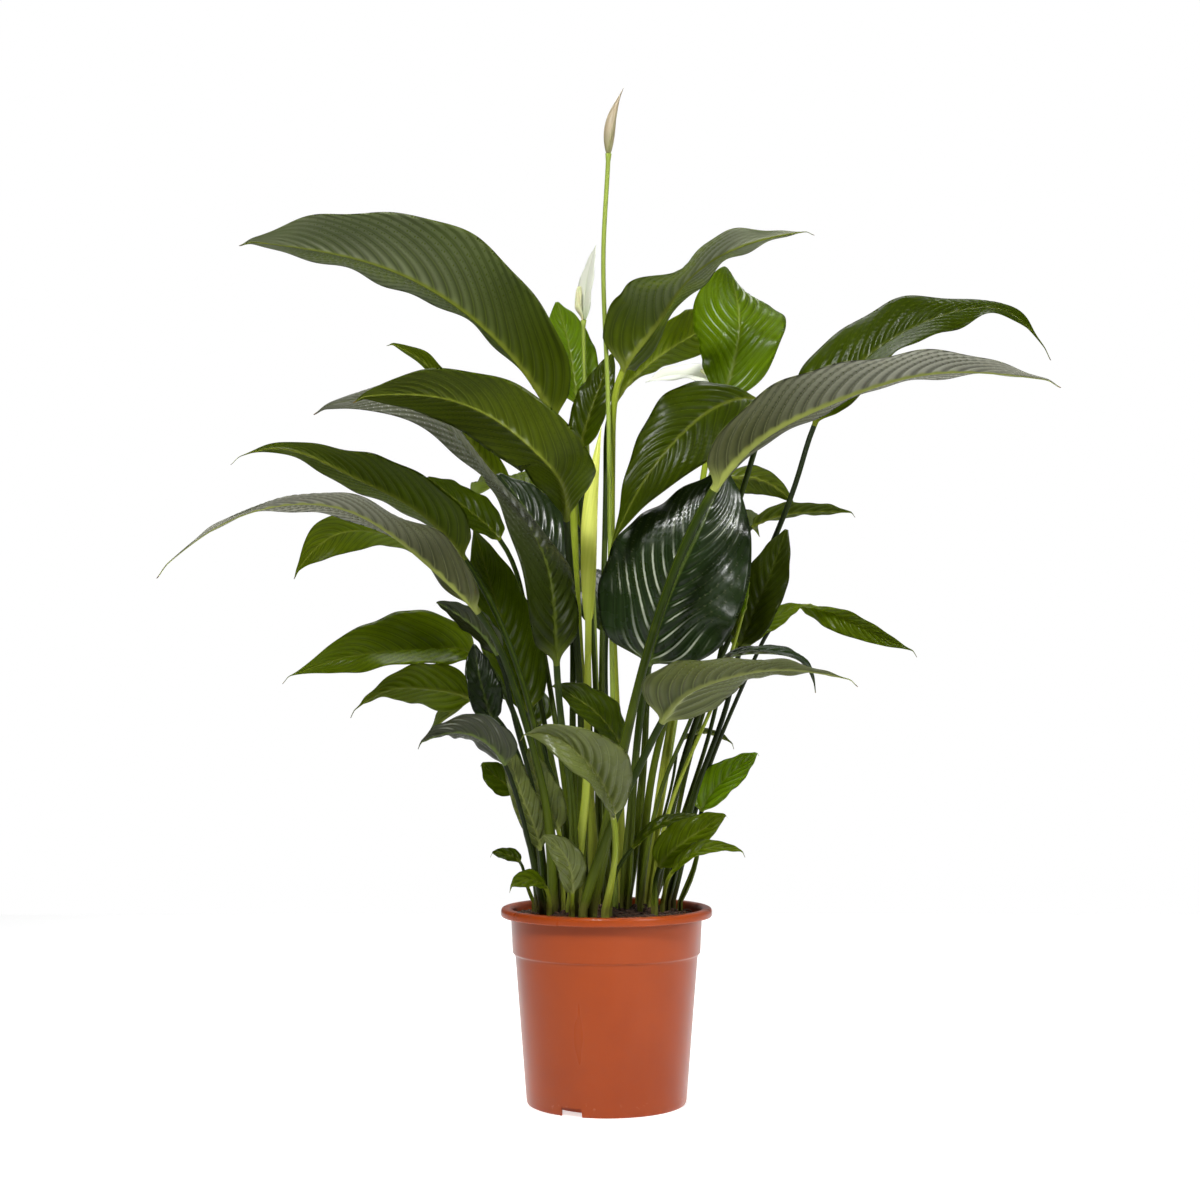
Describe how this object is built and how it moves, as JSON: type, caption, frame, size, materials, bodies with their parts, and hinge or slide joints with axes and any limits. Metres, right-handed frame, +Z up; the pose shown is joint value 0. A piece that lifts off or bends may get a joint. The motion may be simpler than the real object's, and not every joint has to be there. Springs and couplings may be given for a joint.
{
  "type": "potted peace lily",
  "caption": "Tall peace lily in a terracotta-coloured plastic nursery pot, with long-stalked glossy leaves, white flowers and a closed flower bud.",
  "frame": {"origin": "centre of the pot's underside, on the surface it stands on", "axes": "+Z up, -Y towards the side the plant is seen from, +X to the viewer's right"},
  "size_m": [0.851, 0.6496, 1.016],
  "materials": {
    "terracotta_plastic": "satin",
    "soil": "matte",
    "leaf": "satin",
    "young_leaf": "satin",
    "petiole": "satin",
    "spathe": "matte",
    "spadix": "matte"
  },
  "bodies": {
    "root": {"pot": "terracotta_plastic", "soil": "soil", "leaf_left_01": "leaf", "leaf_left_02": "leaf", "leaf_left_03": "leaf", "leaf_left_04": "leaf", "leaf_left_05": "leaf", "leaf_left_06": "leaf", "leaf_left_07": "leaf", "leaf_left_08": "leaf", "leaf_left_09": "leaf", "leaf_left_10": "leaf", "leaf_left_11": "leaf", "leaf_left_12": "leaf", "leaf_left_13": "leaf", "leaf_left_14": "leaf", "leaf_left_15": "leaf", "leaf_middle_01": "leaf", "leaf_middle_02": "leaf", "leaf_middle_03": "leaf", "leaf_middle_04": "leaf", "leaf_middle_05": "leaf", "leaf_middle_06": "leaf", "leaf_middle_07": "leaf", "leaf_right_01": "leaf", "leaf_right_02": "leaf", "leaf_right_03": "leaf", "leaf_right_04": "leaf", "leaf_right_05": "leaf", "leaf_right_06": "leaf", "leaf_right_07": "leaf", "leaf_right_08": "leaf", "leaf_right_09": "leaf", "leaf_right_10": "leaf", "leaf_right_11": "leaf", "leaf_right_12": "leaf", "leaf_right_13": "leaf", "leaf_right_14": "leaf", "leaf_right_15": "leaf", "leaf_low_01": "leaf", "leaf_low_02": "leaf", "leaf_low_03": "leaf", "leaf_low_04": "leaf", "leaf_low_05": "leaf", "leaf_low_06": "leaf", "leaf_low_07": "leaf", "leaf_low_08": "leaf", "leaf_back_01": "leaf", "leaf_back_02": "leaf", "leaf_back_03": "leaf", "leaf_back_04": "leaf", "new_leaf": "young_leaf", "flower_1_stem": "petiole", "flower_1_spathe": "spathe", "flower_2_stem": "petiole", "flower_2_spathe": "spathe", "flower_2_spadix": "spadix", "flower_3_stem": "petiole", "flower_3_spathe": "spathe", "flower_3_spadix": "spadix"}
  },
  "joints": []
}
